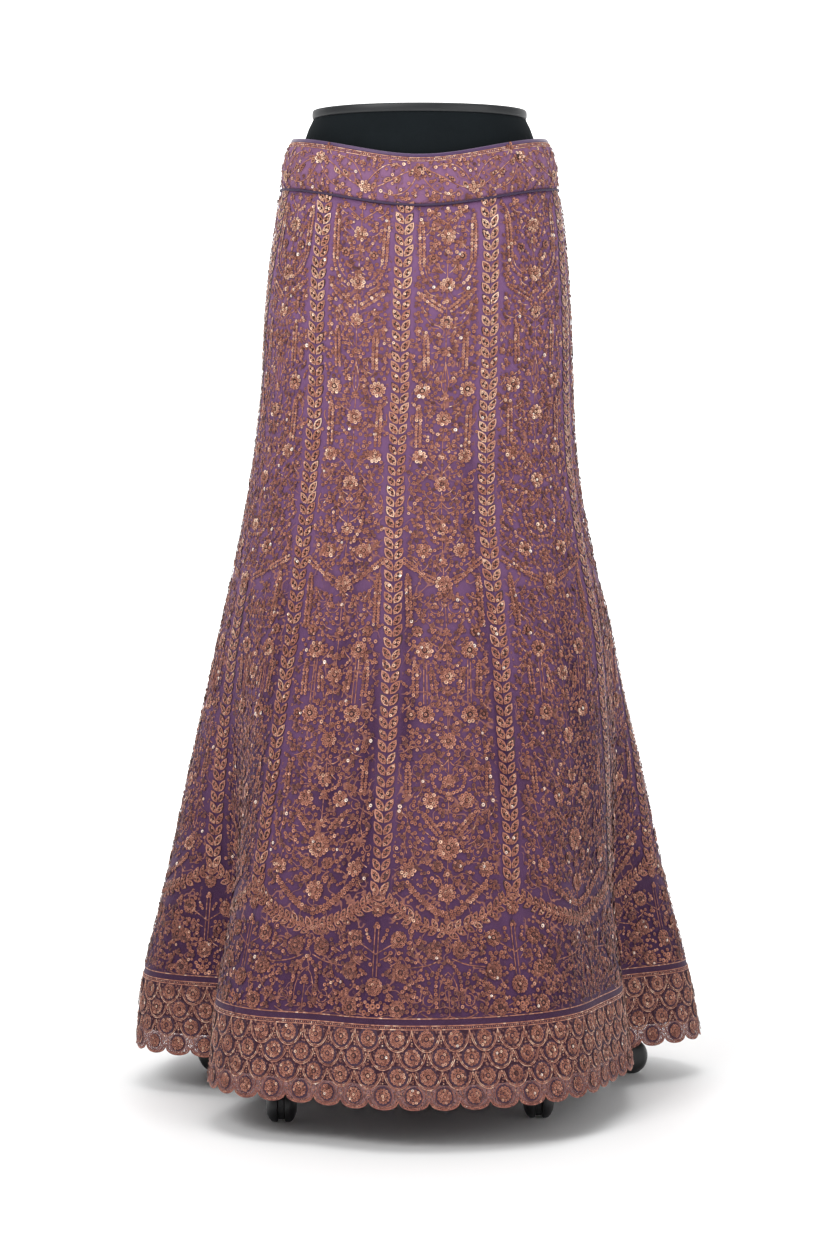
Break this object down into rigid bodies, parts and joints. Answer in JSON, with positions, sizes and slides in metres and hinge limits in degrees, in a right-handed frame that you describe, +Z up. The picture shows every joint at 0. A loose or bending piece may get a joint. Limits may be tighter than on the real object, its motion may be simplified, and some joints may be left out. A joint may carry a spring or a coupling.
{
  "type": "lehenga skirt on a dress form",
  "caption": "Fishtail lehenga skirt of embroidered purple net with shaped waistband and scalloped lace hem, worn on a black dress form with a castor stand.",
  "frame": {"origin": "on the floor, under the middle of the skirt's hem", "axes": "+Z up, front of the skirt towards -Y, +X to the right as seen from the front"},
  "size_m": [0.6477, 0.7108, 1.097],
  "materials": {
    "embroidered_net": "purple net over silk, worked all over in copper cord, ring sequins and beads",
    "copper_cord": "rose-copper metallic cord and sequins, satin glints",
    "purple_binding": "plain dark purple satin binding and piping",
    "form_cover": "matte black stretch jersey over foam",
    "form_cap_plastic": "matte black moulded disc",
    "stand_metal": "black powder coat",
    "castor_plastic": "black nylon, slightly glossy",
    "zip_metal": "aged copper-coloured zip"
  },
  "bodies": {
    "skirt_on_stand": {"kali_1": "embroidered_net", "kali_2": "embroidered_net", "kali_3": "embroidered_net", "kali_4": "embroidered_net", "kali_5": "embroidered_net", "kali_6": "embroidered_net", "kali_7": "embroidered_net", "kali_8": "embroidered_net", "waistband": "embroidered_net", "waist_binding": "purple_binding", "waist_piping": "purple_binding", "lace_edge_front": "copper_cord", "lace_edge_back": "copper_cord", "zip_chain": "zip_metal", "zip_slider": "zip_metal", "form_body": "form_cover", "form_cap": "form_cap_plastic", "stand_pole": "stand_metal", "stand_base": "stand_metal"},
    "zip_tab": {"zip_pull": "zip_metal"},
    "castor_1_swivel": {"castor_1_body": "castor_plastic"},
    "castor_1_roller": {"castor_1_wheel": "castor_plastic"},
    "castor_2_swivel": {"castor_2_body": "castor_plastic"},
    "castor_2_roller": {"castor_2_wheel": "castor_plastic"},
    "castor_3_swivel": {"castor_3_body": "castor_plastic"},
    "castor_3_roller": {"castor_3_wheel": "castor_plastic"},
    "castor_4_swivel": {"castor_4_body": "castor_plastic"},
    "castor_4_roller": {"castor_4_wheel": "castor_plastic"},
    "castor_5_swivel": {"castor_5_body": "castor_plastic"},
    "castor_5_roller": {"castor_5_wheel": "castor_plastic"}
  },
  "joints": [
    {"name": "zip_tab_hinge", "type": "hinge", "parent": "skirt_on_stand", "child": "zip_tab", "pos_m": [0, 0.1164, 1.04851], "axis": [1, 0, 0], "range_deg": [0, 150]},
    {"name": "castor_1_turn", "type": "hinge", "parent": "skirt_on_stand", "child": "castor_1_swivel", "pos_m": [-0.14789, -0.18263, 0.06], "axis": [0, 0, 1], "continuous": true},
    {"name": "castor_1_roll", "type": "hinge", "parent": "castor_1_swivel", "child": "castor_1_roller", "pos_m": [-0.14789, -0.20063, 0.01932], "axis": [-1, 0, 0], "continuous": true},
    {"name": "castor_2_turn", "type": "hinge", "parent": "skirt_on_stand", "child": "castor_2_swivel", "pos_m": [0.12799, -0.19709, 0.06], "axis": [0, 0, 1], "continuous": true},
    {"name": "castor_2_roll", "type": "hinge", "parent": "castor_2_swivel", "child": "castor_2_roller", "pos_m": [0.12799, -0.17909, 0.01932], "axis": [1, 0, 0], "continuous": true},
    {"name": "castor_3_turn", "type": "hinge", "parent": "skirt_on_stand", "child": "castor_3_swivel", "pos_m": [0.22699, 0.06082, 0.06], "axis": [0, 0, 1], "continuous": true},
    {"name": "castor_3_roll", "type": "hinge", "parent": "castor_3_swivel", "child": "castor_3_roller", "pos_m": [0.24258, 0.06982, 0.01932], "axis": [0.5, -0.866, 0], "continuous": true},
    {"name": "castor_4_turn", "type": "hinge", "parent": "skirt_on_stand", "child": "castor_4_swivel", "pos_m": [0.0123, 0.23468, 0.06], "axis": [0, 0, 1], "continuous": true},
    {"name": "castor_4_roll", "type": "hinge", "parent": "castor_4_swivel", "child": "castor_4_roller", "pos_m": [0.00469, 0.25099, 0.01932], "axis": [0.9063, 0.4226, 0], "continuous": true},
    {"name": "castor_5_turn", "type": "hinge", "parent": "skirt_on_stand", "child": "castor_5_swivel", "pos_m": [-0.21939, 0.08422, 0.06], "axis": [0, 0, 1], "continuous": true},
    {"name": "castor_5_roll", "type": "hinge", "parent": "castor_5_swivel", "child": "castor_5_roller", "pos_m": [-0.23712, 0.08109, 0.01932], "axis": [-0.1736, 0.9848, 0], "continuous": true}
  ]
}
